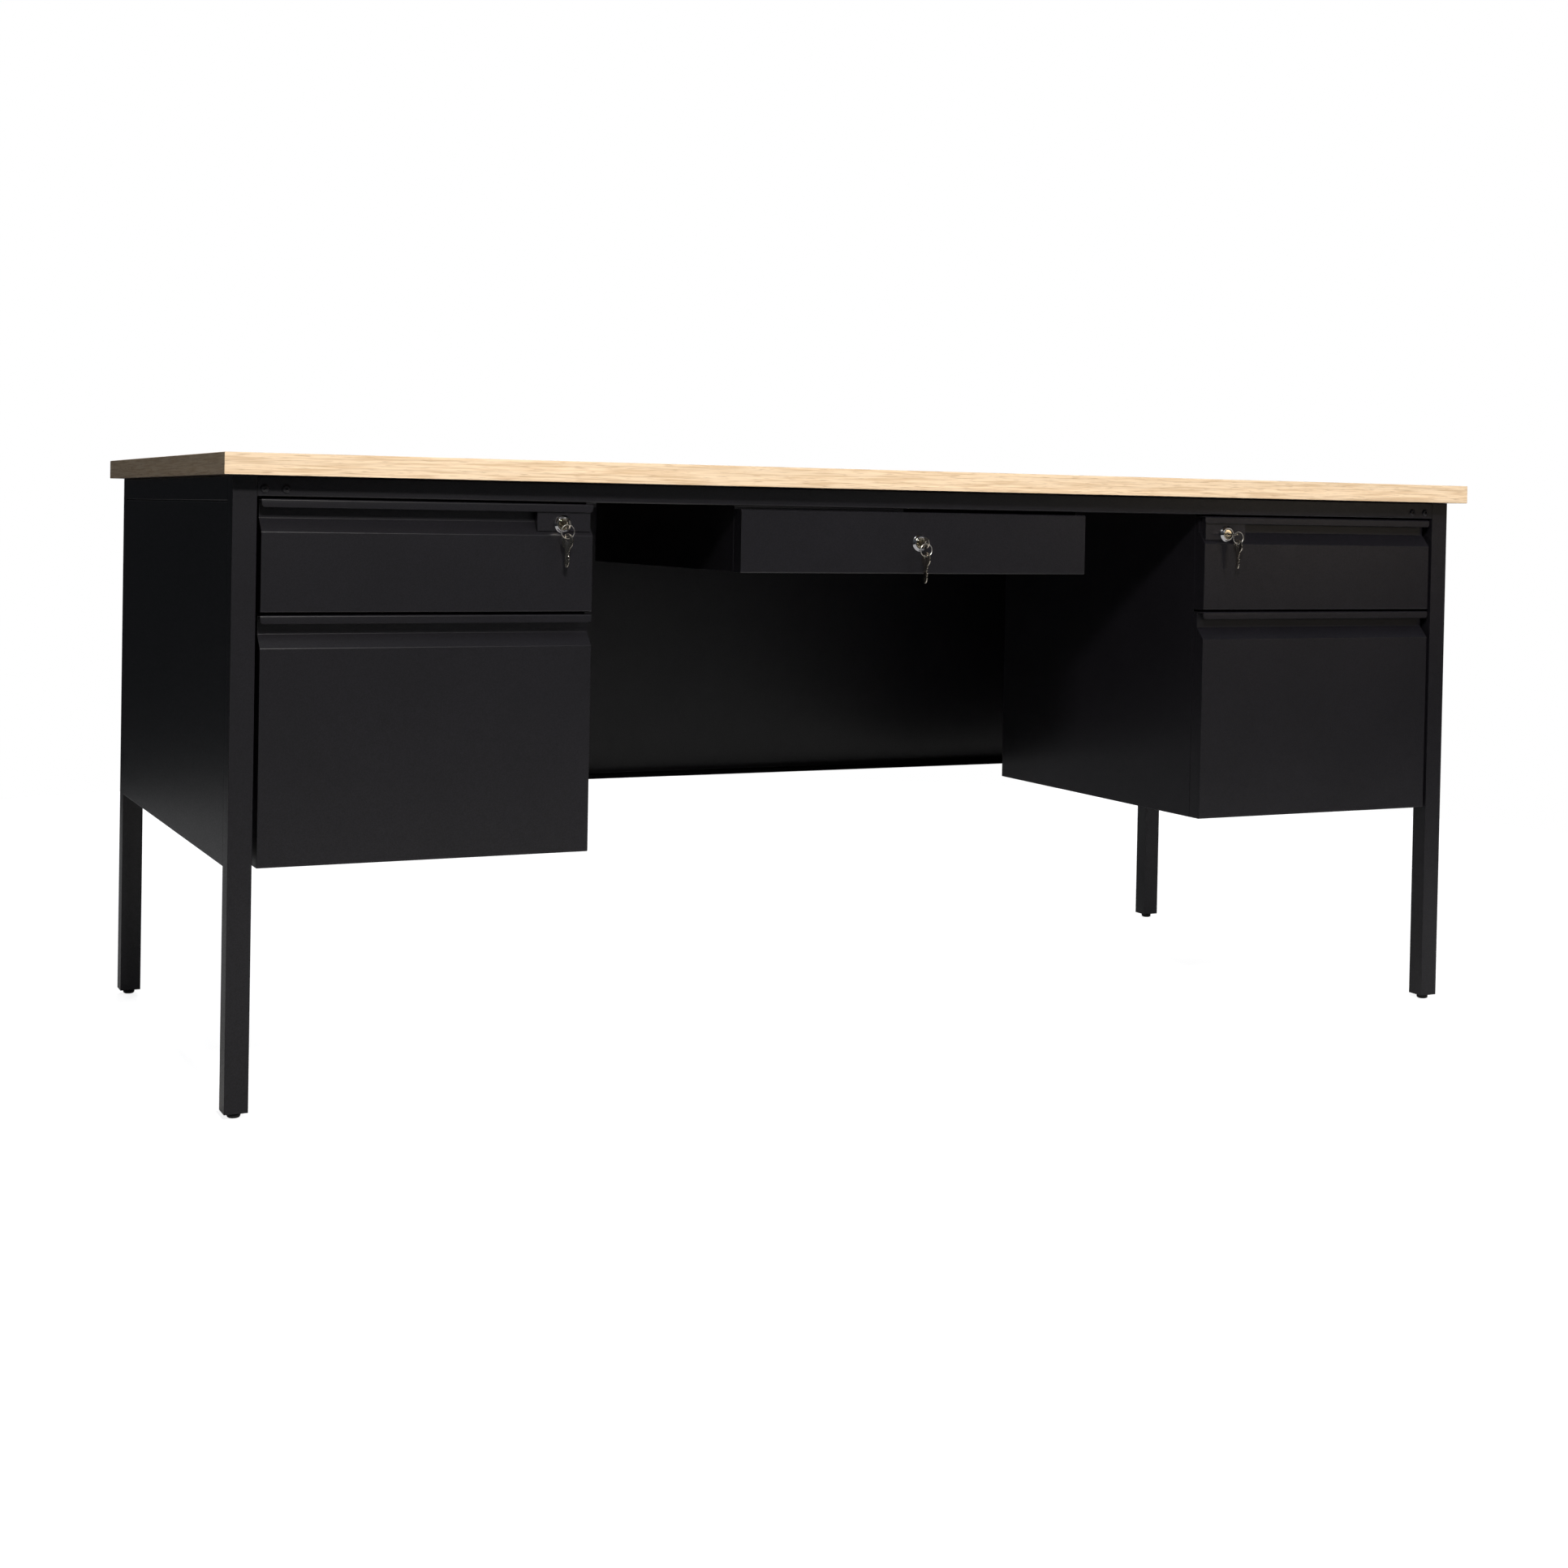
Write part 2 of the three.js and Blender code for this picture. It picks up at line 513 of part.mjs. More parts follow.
makeTop();
makeLegs();
makeRails();
for (const [name, side] of [['left', -1], ['right', 1]]) {
  makeSide(name, side);
  makeCase(name, side);
  makeHanger(name, side);
  makeSlides(`box_${name}`, side, TRAYS.box.slide, false);
  makeSlides(`file_${name}`, side, TRAYS.file.slide, true);
  makeBoxDrawer(name, side);
  makeFileDrawer(name, side);
}
makeCentreDrawer();
makeLocks();

export default desk;
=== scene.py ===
import json
import math

import bmesh
import bpy
from mathutils import Matrix, Vector

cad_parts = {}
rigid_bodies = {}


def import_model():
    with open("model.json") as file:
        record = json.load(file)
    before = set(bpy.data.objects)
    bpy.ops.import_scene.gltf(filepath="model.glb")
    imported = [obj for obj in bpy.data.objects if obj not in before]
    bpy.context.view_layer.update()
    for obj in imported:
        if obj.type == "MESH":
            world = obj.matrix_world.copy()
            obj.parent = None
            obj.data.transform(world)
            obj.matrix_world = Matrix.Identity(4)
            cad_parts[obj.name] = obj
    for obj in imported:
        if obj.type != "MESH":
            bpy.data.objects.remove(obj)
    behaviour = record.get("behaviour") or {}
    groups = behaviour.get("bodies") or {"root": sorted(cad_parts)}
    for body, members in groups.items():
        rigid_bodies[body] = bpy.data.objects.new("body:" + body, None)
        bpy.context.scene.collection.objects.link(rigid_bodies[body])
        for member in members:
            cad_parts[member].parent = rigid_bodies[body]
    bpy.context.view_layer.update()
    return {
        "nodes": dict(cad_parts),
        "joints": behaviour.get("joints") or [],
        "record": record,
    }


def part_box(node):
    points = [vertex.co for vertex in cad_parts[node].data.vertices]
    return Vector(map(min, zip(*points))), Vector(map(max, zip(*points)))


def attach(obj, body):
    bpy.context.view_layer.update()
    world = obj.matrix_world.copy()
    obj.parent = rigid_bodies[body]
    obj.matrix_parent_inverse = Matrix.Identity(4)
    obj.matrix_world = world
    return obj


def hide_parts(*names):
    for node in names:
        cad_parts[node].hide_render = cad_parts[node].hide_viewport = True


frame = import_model()

# Looks of a double pedestal teacher desk. Metres, +Z up, -Y is the drawer side.
MM = 0.001
SIDES = ("left", "right")
LOCKS = ("left", "right", "centre")
JOINTS = {joint["name"]: joint for joint in frame["joints"]}


# ---- node materials ----
# a Mix node has a set of sockets for each data type, under the same names
MIX_SHARE = 0
MIX_VECTORS, MIXED_VECTOR = (4, 5), 1
MIX_COLORS, MIXED_COLOR = (6, 7), 2


class Finish:
    """A node material that is wired up round one Principled shader."""

    def __init__(self, name, **constants):
        self.material = bpy.data.materials.new(name)
        self.material.use_nodes = True
        self.tree = self.material.node_tree
        self.shader = self.tree.nodes["Principled BSDF"]
        self.put(self.shader, **constants)
        self.coordinates = self.node("ShaderNodeTexCoord")
        self.place = self.coordinates.outputs["Object"]

    def feed(self, socket, value):
        """Links the socket to another node's output, or sets its own value."""
        if isinstance(value, bpy.types.NodeSocket):
            self.tree.links.new(value, socket)
        else:
            socket.default_value = value

    def put(self, node, **inputs):
        for name, value in inputs.items():
            self.feed(node.inputs[name.replace("_", " ")], value)

    def node(self, kind, settings=None, **inputs):
        node = self.tree.nodes.new(kind)
        for name, value in (settings or {}).items():
            setattr(node, name, value)
        self.put(node, **inputs)
        return node

    def stretched(self, place, *scale):
        mapping = self.node("ShaderNodeMapping", Vector=place, Scale=scale)
        return mapping.outputs["Vector"]

    def noise(self, scale, detail=2.0, place=None, distortion=0.0):
        place = place or self.place
        noise = self.node("ShaderNodeTexNoise", Vector=place, Scale=scale, Detail=detail,
                          Distortion=distortion)
        return noise.outputs["Fac"]

    def level(self, value, low, high, to_low, to_high):
        scaled = self.node("ShaderNodeMapRange", Value=value, From_Min=low, From_Max=high,
                           To_Min=to_low, To_Max=to_high)
        return scaled.outputs["Result"]

    def math(self, operation, *values):
        node = self.node("ShaderNodeMath", {"operation": operation})
        for socket, value in zip(node.inputs, values):
            self.feed(socket, value)
        return node.outputs["Value"]

    def choose(self, share, one, other):
        """The vector `one`, or `other` where `share` is 1."""
        node = self.node("ShaderNodeMix", {"data_type": "VECTOR"})
        self.feed(node.inputs[MIX_SHARE], share)
        for index, value in zip(MIX_VECTORS, (one, other)):
            self.feed(node.inputs[index], value)
        return node.outputs[MIXED_VECTOR]

    def mix(self, share, one, other, blend="MIX"):
        """The colours `one` and `other`, which are sockets or plain RGB, mixed by `share`."""
        node = self.node("ShaderNodeMix", {"data_type": "RGBA", "blend_type": blend})
        self.feed(node.inputs[MIX_SHARE], share)
        for index, value in zip(MIX_COLORS, (one, other)):
            self.feed(node.inputs[index], (*value, 1.0) if isinstance(value, tuple) else value)
        return node.outputs[MIXED_COLOR]

    def ramp(self, value, *stops):
        node = self.node("ShaderNodeValToRGB", Fac=value)
        elements = node.color_ramp.elements
        while len(elements) < len(stops):
            elements.new(0.5)
        for element, (position, color) in zip(elements, stops):
            element.position = position
            element.color = (*color, 1.0)
        return node.outputs["Color"]

    def finish(self, color, roughness, *bumps):
        """Wires colour and roughness, and bumps given as (height, distance) in metres."""
        self.put(self.shader, Base_Color=color, Roughness=roughness)
        normal = None
        for height, distance in bumps:
            bump = self.node("ShaderNodeBump", Height=height, Distance=distance)
            if normal:
                self.put(bump, Normal=normal)
            normal = bump.outputs["Normal"]
        if normal:
            self.put(self.shader, Normal=normal)
        return self.material


def grey(level):
    return (level, level, level)


def powder_coat():
    """Black powder coat: a speckled, slightly rippled skin."""
    coat = Finish("powder_coat", IOR=1.5)
    cloud = coat.noise(9, detail=4)
    tone = coat.ramp(cloud, (0.32, (0.0064, 0.0060, 0.0078)), (0.68, (0.0076, 0.0071, 0.0092)))
    grain = coat.noise(620, detail=4)
    speck = coat.ramp(grain, (0.36, grey(0.60)), (0.64, grey(1.45)))
    color = coat.mix(1.0, tone, speck, "MULTIPLY")
    roughness = coat.level(grain, 0.3, 0.7, 0.40, 0.30)
    return coat.finish(color, roughness, (coat.noise(1100, detail=2), 0.03 * MM), (grain, 0.05 * MM))


GROWTH_RINGS = 16.0  # from the lowest to the highest value of the field that they follow


def oak(name, light, streak, pore, figured):
    """Printed oak whose grain runs along X, and along Y on the short edges; a brown sheet below."""
    wood = Finish(name, IOR=1.46, Coat_Weight=0.05, Coat_Roughness=0.42)
    mottle = wood.noise(160, detail=4)
    backing = wood.ramp(mottle, (0.35, (0.075, 0.050, 0.034)), (0.65, (0.098, 0.067, 0.046)))
    axes = wood.node("ShaderNodeSeparateXYZ", Vector=wood.place)
    facing = wood.node("ShaderNodeSeparateXYZ", Vector=wood.coordinates.outputs["Normal"])
    on_end = wood.math("GREATER_THAN", wood.math("ABSOLUTE", facing.outputs["X"]), 0.5)
    lengthways = wood.node("ShaderNodeCombineXYZ", X=axes.outputs["X"], Y=axes.outputs["Y"],
                           Z=axes.outputs["Z"])
    crossways = wood.node("ShaderNodeCombineXYZ", X=axes.outputs["Y"], Y=axes.outputs["X"],
                          Z=axes.outputs["Z"])
    along = wood.choose(on_end, lengthways.outputs["Vector"], crossways.outputs["Vector"])

    fibre = wood.noise(1.0, detail=4, place=wood.stretched(along, 17, 560, 560))
    band = wood.noise(1.0, detail=3, place=wood.stretched(along, 1.9, 40, 130), distortion=0.6)
    dash = wood.noise(1.0, detail=2, place=wood.stretched(along, 42, 900, 900))
    color = wood.mix(wood.level(fibre, 0.43, 0.64, 0.0, 1.0), light, streak)
    broad = wood.ramp(band, (0.30, grey(0.90)), (0.72, grey(1.06)))
    color = wood.mix(1.0, color, broad, "MULTIPLY")
    if figured:
        trunk = wood.stretched(along, 0.62, 4.6, 4.6)
        field = wood.noise(1.0, detail=1.5, place=trunk, distortion=0.5)
        ring = wood.math("PINGPONG", wood.math("MULTIPLY", field, GROWTH_RINGS), 0.5)
        figure = wood.ramp(ring, (0.0, grey(0.84)), (0.30, grey(1.0)), (0.5, grey(1.03)))
        color = wood.mix(0.8, color, figure, "MULTIPLY")
    color = wood.mix(wood.level(dash, 0.58, 0.70, 0.0, 0.8), color, pore)
    under = wood.math("LESS_THAN", facing.outputs["Z"], -0.5)
    color = wood.mix(under, color, backing)
    roughness = wood.level(fibre, 0.3, 0.7, 0.50, 0.62)
    return wood.finish(color, roughness, (fibre, 0.03 * MM), (dash, 0.03 * MM))


def metal(name, dark, light, roughness, brush, depth):
    """Polished or plated metal with marks stretched by `brush`, given per metre along each axis."""
    plate = Finish(name, Metallic=1.0)
    marks = plate.noise(1.0, detail=3, place=plate.stretched(plate.place, *brush))
    color = plate.ramp(plate.noise(60, detail=3), (0.3, dark), (0.7, light))
    rough = plate.level(marks, 0.3, 0.7, *roughness)
    return plate.finish(color, rough, (marks, depth))


def moulded_nylon():
    """Black nylon with a faint moulded grain."""
    nylon = Finish("black_nylon", IOR=1.5)
    cloud = nylon.noise(120, detail=3)
    color = nylon.ramp(cloud, (0.3, (0.012, 0.012, 0.012)), (0.7, (0.020, 0.020, 0.021)))
    return nylon.finish(color, nylon.level(cloud, 0.3, 0.7, 0.42, 0.55), (nylon.noise(2600), 0.02 * MM))


FINE = (2400, 2400, 2400)  # polishing marks per metre
DRAWN = (1800, 24, 1800)  # marks left by drawing the slides along Y
MATERIALS = {
    "black_powdercoat": powder_coat(),
    "oak_laminate": oak("oak_laminate_print", (0.82, 0.635, 0.43), (0.68, 0.50, 0.315),
                        (0.50, 0.345, 0.205), True),
    "oak_band": oak("oak_band_print", (0.88, 0.69, 0.475), (0.70, 0.505, 0.31),
                    (0.52, 0.355, 0.21), False),
    "zinc_steel": metal("zinc_plate", (0.50, 0.51, 0.53), (0.66, 0.67, 0.68), (0.24, 0.40),
                        DRAWN, 0.01 * MM),
    "chrome": metal("chrome_plate", (0.70, 0.71, 0.73), (0.80, 0.80, 0.81), (0.04, 0.09), FINE,
                    0.0003 * MM),
    "nickel": metal("nickel_plate", (0.66, 0.60, 0.50), (0.78, 0.72, 0.62), (0.13, 0.21), FINE,
                    0.0006 * MM),
    "ring_wire": metal("ring_wire", (0.80, 0.77, 0.72), (0.90, 0.87, 0.82), (0.26, 0.34), FINE,
                       0.0004 * MM),
    "lock_brass": metal("polished_brass", (0.66, 0.58, 0.43), (0.78, 0.70, 0.54), (0.07, 0.13), FINE,
                        0.0004 * MM),
    "glide_plastic": moulded_nylon(),
}


# ---- carried CAD pieces: rounded edges and the finishes above ----
def geometry_group(name):
    group = bpy.data.node_groups.new(name, "GeometryNodeTree")
    group.interface.new_socket("Geometry", in_out="INPUT", socket_type="NodeSocketGeometry")
    group.interface.new_socket("Geometry", in_out="OUTPUT", socket_type="NodeSocketGeometry")
    return group, group.nodes.new("NodeGroupInput"), group.nodes.new("NodeGroupOutput")


def above_angle(group, output, limit):
    """A selection of the edges whose angle is above `limit` radians."""
    angle = group.nodes.new("GeometryNodeInputMeshEdgeAngle")
    above = group.nodes.new("FunctionNodeCompare")
    above.operation = "GREATER_THAN"
    above.inputs["B"].default_value = limit
    group.links.new(angle.outputs[output], above.inputs["A"])
    return above.outputs["Result"]


def mark_outer_edges(limit):
    """A node group that drops stored normals and weights the convex edges for the bevel."""
    group, start, end = geometry_group("mark_outer_edges")
    plain = group.nodes.new("GeometryNodeRemoveAttribute")
    plain.inputs["Name"].default_value = "custom_normal"
    weigh = group.nodes.new("GeometryNodeStoreNamedAttribute")
    weigh.data_type, weigh.domain = "FLOAT", "EDGE"
    weigh.inputs["Name"].default_value = "bevel_weight_edge"
    group.links.new(start.outputs["Geometry"], plain.inputs["Geometry"])
    group.links.new(plain.outputs["Geometry"], weigh.inputs["Geometry"])
    group.links.new(above_angle(group, "Signed Angle", limit), weigh.inputs["Value"])
    group.links.new(weigh.outputs["Geometry"], end.inputs["Geometry"])
    return group


def smooth_by_angle(limit):
    """A node group that shades faces smooth and keeps edges above `limit` radians sharp."""
    group, start, end = geometry_group("smooth_by_angle")
    faces = group.nodes.new("GeometryNodeSetShadeSmooth")
    edges = group.nodes.new("GeometryNodeSetShadeSmooth")
    faces.domain, edges.domain = "FACE", "EDGE"
    edges.inputs["Shade Smooth"].default_value = False
    group.links.new(start.outputs["Geometry"], faces.inputs["Geometry"])
    group.links.new(faces.outputs["Geometry"], edges.inputs["Geometry"])
    group.links.new(above_angle(group, "Unsigned Angle", limit), edges.inputs["Selection"])
    group.links.new(edges.outputs["Geometry"], end.inputs["Geometry"])
    return group


OUTER_EDGES = mark_outer_edges(math.radians(34))
SMOOTH = smooth_by_angle(math.radians(38))


WELD_GAP = 0.005 * MM  # corners closer than this are one


def soften(piece, radius):
    """Rounds a piece's outer edges by modifiers, and leaves its mesh as it is."""
    weld = piece.modifiers.new("weld", "WELD")
    weld.merge_threshold = WELD_GAP
    piece.modifiers.new("outer_edges", "NODES").node_group = OUTER_EDGES
    bevel = piece.modifiers.new("round_edges", "BEVEL")
    bevel.width, bevel.segments = radius, 2
    bevel.limit_method, bevel.use_clamp_overlap = "WEIGHT", False
    piece.modifiers.new("smooth", "NODES").node_group = SMOOTH
    level = piece.modifiers.new("level_faces", "WEIGHTED_NORMAL")
    level.keep_sharp = True


def paint(piece, material):
    piece.data.materials.clear()
    piece.data.materials.append(material)


BOARD_EDGE = 0.8 * MM
TUBE_EDGE = 0.35 * MM
SHEET_EDGE = 0.42 * MM


def edge_radius(node):
    if node in ("desktop", "edge_band"):
        return BOARD_EDGE
    if node.startswith("leg"):
        return TUBE_EDGE
    return SHEET_EDGE


def dress_cad():
    for row in frame["record"]["subparts"]:
        piece = frame["nodes"][row["node"]]
        soften(piece, edge_radius(row["node"]))
        paint(piece, MATERIALS[row["material_slot"]])


# ---- mesh helpers ----
SAME_POINT = 0.002 * MM
SHARP_ANGLE = math.radians(32)
ON_AXIS = 1e-9  # radii below this, in metres, are a point on the axis


def new_piece(name, mesh_data, body, slot, replaced=(), finish=None):
    piece = bpy.data.objects.new(name, mesh_data)
    bpy.context.scene.collection.objects.link(piece)
    paint(piece, MATERIALS[finish or slot])
    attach(piece, body)
    if replaced:
        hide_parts(*replaced)
    return piece


def mesh_from(form, name, matrix=None):
    """Turns a bmesh into mesh data, shaded smooth with its sharp edges kept."""
    bmesh.ops.remove_doubles(form, verts=form.verts, dist=SAME_POINT)
    if matrix:
        form.transform(matrix)
    bmesh.ops.recalc_face_normals(form, faces=form.faces)
    mesh_data = bpy.data.meshes.new(name)
    form.to_mesh(mesh_data)
    form.free()
    mesh_data.shade_smooth()
    mesh_data.set_sharp_from_angle(angle=SHARP_ANGLE)
    return mesh_data


def lathe(form, profile, steps=64):
    """Turns (radius, height) points about Z into `form`; ends on the axis close the piece."""
    rings = []
    for radius, height in profile:
        if radius < ON_AXIS:
            rings.append([form.verts.new((0, 0, height))])
            continue
        ring = []
        for k in range(steps):
            angle = 2 * math.pi * k / steps
            point = (radius * math.cos(angle), radius * math.sin(angle), height)
            ring.append(form.verts.new(point))
        rings.append(ring)
    for one, two in zip(rings, rings[1:]):
        for k in range(steps):
            corners = [one[k % len(one)], one[(k + 1) % len(one)],
                       two[(k + 1) % len(two)], two[k % len(two)]]
            kept = list(dict.fromkeys(corners))
            if len(kept) > 2:
                form.faces.new(kept)


MOST_CUT = 0.45  # share of a side that one rounded corner may take


def rounded(profile, radius, steps=4):
    """The profile with the corners between its ends replaced by curves of about `radius`."""
    points = [Vector(p) for p in profile]
    points_out = [points[0]]
    for before, here, after in zip(points, points[1:], points[2:]):
        into, on = (before - here), (after - here)
        cut = min(radius, MOST_CUT * into.length, MOST_CUT * on.length)
        start, end = here + into.normalized() * cut, here + on.normalized() * cut
        for k in range(steps + 1):
            t = k / steps
            points_out.append(start.lerp(here, t).lerp(here.lerp(end, t), t))
    points_out.append(points[-1])
    return points_out


def along_axis(origin, axis):
    """A matrix that moves a turned form to `origin`, with its Z along `axis`."""
    z = Vector(axis).normalized()
    x = z.orthogonal().normalized()
    y = z.cross(x)
    return Matrix.Translation(origin) @ Matrix((x, y, z)).transposed().to_4x4()


# ---- locks ----
PLUG_RADIUS = 6.7 * MM
BORE = 7.0 * MM
BARREL = 9.3 * MM
# the collar's flange: three levels along the axis, and how far its upper edge is set in
FLANGE = {"start": 0.3 * MM, "edge": 1.3 * MM, "step": 1.9 * MM, "inset": 0.7 * MM}
# the collar's nose: radii at its foot, rim and mouth, its edge radius, and the dish inside the mouth
CONE = {"foot": 8.9 * MM, "rim": 8.5 * MM, "mouth": 7.6 * MM, "soft": 0.35 * MM, "dish": 0.7 * MM}
# the keyway's width, height and depth, and how far its cutter stands over the plug's face
KEYWAY = {"wide": 2.6 * MM, "high": 7.2 * MM, "deep": 19 * MM, "over": 1 * MM}
PLUG_CHAMFER = 0.5 * MM
CAM_THICK, CAM_HALF = 2.0 * MM, 5.0 * MM
OUT = Vector((0, -1, 0))


def lock_axis(lock):
    return Vector(JOINTS[f"lock_turn_{lock}"]["pos_m"])


def make_lock_body(lock):
    """A turned, chromed body: a coned collar with a rim, and a plain barrel."""
    low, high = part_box(f"lock_body_{lock}")
    face = lock_axis(lock)
    proud, back = face.y - low.y, high.y - face.y
    collar = (high.x - low.x) / 2
    profile = rounded([
        (BORE, -back),
        (BARREL, -back),
        (BARREL, FLANGE["start"]),
        (collar, FLANGE["start"]),
        (collar, FLANGE["edge"]),
        (collar - FLANGE["inset"], FLANGE["step"]),
        (CONE["foot"], proud - CONE["soft"]),
        (CONE["rim"], proud),
        (CONE["mouth"], proud),
        (BORE, proud - CONE["dish"]),
        (BORE, -back),
    ], CONE["soft"])
    form = bmesh.new()
    lathe(form, profile, 72)
    mesh_data = mesh_from(form, f"lock_collar_{lock}", along_axis(face, OUT))
    body = "centre_drawer" if lock == "centre" else f"box_drawer_{lock}"
    new_piece(f"lock_collar_{lock}", mesh_data, body, "chrome", [f"lock_body_{lock}"])


def make_plug(lock):
    """The turning plug with its keyway and the cam behind it."""
    low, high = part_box(f"lock_cylinder_{lock}")
    face = lock_axis(lock)
    front = face.y - low.y
    cam_end = max(high.x - face.x, face.x - low.x)
    cam_side = 1 if high.x - face.x > face.x - low.x else -1
    cam_front = high.y - CAM_THICK - face.y
    upright = lock != "right"
    form = bmesh.new()
    profile = rounded([
        (0, -cam_front),
        (PLUG_RADIUS, -cam_front),
        (PLUG_RADIUS, front - PLUG_CHAMFER),
        (PLUG_RADIUS - PLUG_CHAMFER, front),
        (KEYWAY["wide"], front),
        (0, front),
    ], PLUG_CHAMFER / 2)
    lathe(form, profile)
    plug = bpy.data.objects.new("plug_stock", mesh_from(form, "plug", along_axis(face, OUT)))
    keyway = bmesh.new()
    bmesh.ops.create_cube(keyway, size=1.0)
    slot = (KEYWAY["wide"], KEYWAY["high"])
    width, height = slot if upright else reversed(slot)
    size = Matrix.Diagonal((width, KEYWAY["deep"], height, 1.0))
    place = Matrix.Translation(face + OUT * (front + KEYWAY["over"] - KEYWAY["deep"] / 2))
    cutter = bpy.data.objects.new("keyway", mesh_from(keyway, "keyway", place @ size))
    scene = bpy.context.scene.collection.objects
    scene.link(plug)
    scene.link(cutter)
    cut = plug.modifiers.new("cut", "BOOLEAN")
    cut.object, cut.solver = cutter, "EXACT"
    depsgraph = bpy.context.evaluated_depsgraph_get()
    carved = bmesh.new()
    carved.from_mesh(plug.evaluated_get(depsgraph).to_mesh())
    add_cam(carved, face, cam_front, cam_end, cam_side)
    bpy.data.objects.remove(plug)
    bpy.data.objects.remove(cutter)
    piece = new_piece(f"lock_plug_{lock}", mesh_from(carved, f"lock_plug_{lock}"), f"lock_{lock}",
                      "lock_brass", [f"lock_cylinder_{lock}"])
    rim = piece.modifiers.new("round_edges", "BEVEL")
    rim.width, rim.segments = 0.15 * MM, 2
    rim.limit_method, rim.angle_limit = "ANGLE", math.radians(50)


def add_cam(form, face, start, reach, side):
    """A flat cam with round ends, behind the plug."""
    half, steps = CAM_HALF, 12
    outline = []
    for k in range(steps + 1):
        angle = math.pi / 2 - math.pi * k / steps
        outline.append(((reach - half) + half * math.cos(angle), half * math.sin(angle)))
    for k in range(steps + 1):
        angle = -math.pi / 2 - math.pi * k / steps
        outline.append((half * math.cos(angle), half * math.sin(angle)))
    front = [form.verts.new((face.x + side * x, face.y + start, face.z + z)) for x, z in outline]
    back = [form.verts.new((v.co.x, v.co.y + CAM_THICK, v.co.z)) for v in front]
    form.faces.new(front)
    form.faces.new(back)
    for k, one in enumerate(front):
        form.faces.new((one, front[k - 1], back[k - 1], back[k]))


# ---- keys ----
KEY_LENGTH, KEY_THICK = 41 * MM, 2.0 * MM
BOW_LONG, BOW_WIDE = 19 * MM, 15 * MM
BLADE_HALF = 3.4 * MM  # half the blade's width
HOLE, HOLE_AT = 2.7 * MM, 6.8 * MM
CUTS = (1.1, 2.0, 0.7, 1.7, 1.2)  # depth of each cut in millimetres, from the bow to the tip
CUT_LAND = 0.2  # half the flat floor of a cut, as a share of the pitch
SHOULDER = 2 * MM  # plain blade between the bow and the first cut
TIP_LAND = 3 * MM  # plain blade between the last cut and the tip
CREST = 0.35 * MM  # how far the crests between the cuts are worn down
STAMPED_EDGE = 0.25 * MM
# the rib: distance off the middle, half width and thickness, and where it starts and ends
RIB = {"off": -0.5 * MM, "half": 0.28 * MM, "thick": 0.12 * MM, "from": 1 * MM, "short": 2.6 * MM}
SPARE_TURN = {"left": 0.78, "right": 0.16, "centre": 0.3}  # how far a spare key faces round, in radians
KEY_OUT = 24 * MM  # how far a key stands out from the face of its lock


def key_outline():
    """(along, across) round a key from neck to neck: bow, plain edge, tip, cut edge of the blade."""
    a, b = BOW_LONG / 2, BOW_WIDE / 2  # the bow is an ellipse
    neck = math.asin(BLADE_HALF / b)
    points = []
    steps = 44
    for k in range(steps + 1):
        angle = neck + (2 * math.pi - 2 * neck) * k / steps
        points.append((a + a * math.cos(angle), b * math.sin(angle)))
    start, tip = BOW_LONG + SHOULDER, KEY_LENGTH
    points += [
        (start - 1.2 * MM, -BLADE_HALF),
        (tip - 2 * MM, -BLADE_HALF),
        (tip - 0.6 * MM, -2.2 * MM),
        (tip, -BLADE_HALF + 2 * MM),
        (tip - 0.5 * MM, 0.6 * MM),
    ]
    pitch = (tip - TIP_LAND - start) / len(CUTS)
    for i, cut in enumerate(reversed(CUTS)):
        at = tip - TIP_LAND - pitch * (i + 0.5)
        deep = BLADE_HALF - cut * MM
        points += [(at + pitch * CUT_LAND, deep), (at - pitch * CUT_LAND, deep)]
        if i < len(CUTS) - 1:
            points.append((at - pitch * 0.5, BLADE_HALF - CREST))
    points.append((start, BLADE_HALF))
    return points


def make_key(name, body, matrix, node):
    """A stamped key: rounded edges, a hole in the bow and a thin rib along each side of the blade."""
    outline = key_outline()
    hole_steps = 28
    hole = []
    for k in range(hole_steps):
        angle = -2 * math.pi * k / hole_steps
        hole.append((HOLE_AT + HOLE * math.cos(angle), HOLE * math.sin(angle)))
    curve = bpy.data.curves.new(name, "CURVE")
    curve.dimensions, curve.fill_mode = "2D", "BOTH"
    curve.extrude = KEY_THICK / 2 - STAMPED_EDGE
    curve.bevel_depth, curve.bevel_resolution = STAMPED_EDGE, 2
    curve.offset = -STAMPED_EDGE
    for loop in (outline, hole):
        spline = curve.splines.new("POLY")
        spline.points.add(len(loop) - 1)
        for point, (along, across) in zip(spline.points, loop):
            point.co = (along, across, 0, 1)
        spline.use_cyclic_u = True
    stock = bpy.data.objects.new("key_stock", curve)
    bpy.context.scene.collection.objects.link(stock)
    depsgraph = bpy.context.evaluated_depsgraph_get()
    form = bmesh.new()
    form.from_mesh(stock.evaluated_get(depsgraph).to_mesh())
    bpy.data.objects.remove(stock)
    start, end = BOW_LONG - RIB["from"], KEY_LENGTH - RIB["short"]
    span = Matrix.Diagonal((end - start, 2 * RIB["half"], RIB["thick"], 1.0))
    for side in (1, -1):
        rib = bmesh.ops.create_cube(form, size=1.0)["verts"]
        at = Matrix.Translation(((start + end) / 2, RIB["off"], side * KEY_THICK / 2))
        bmesh.ops.transform(form, matrix=at @ span, verts=rib)
    new_piece(name, mesh_from(form, name, matrix), body, "nickel", [node])


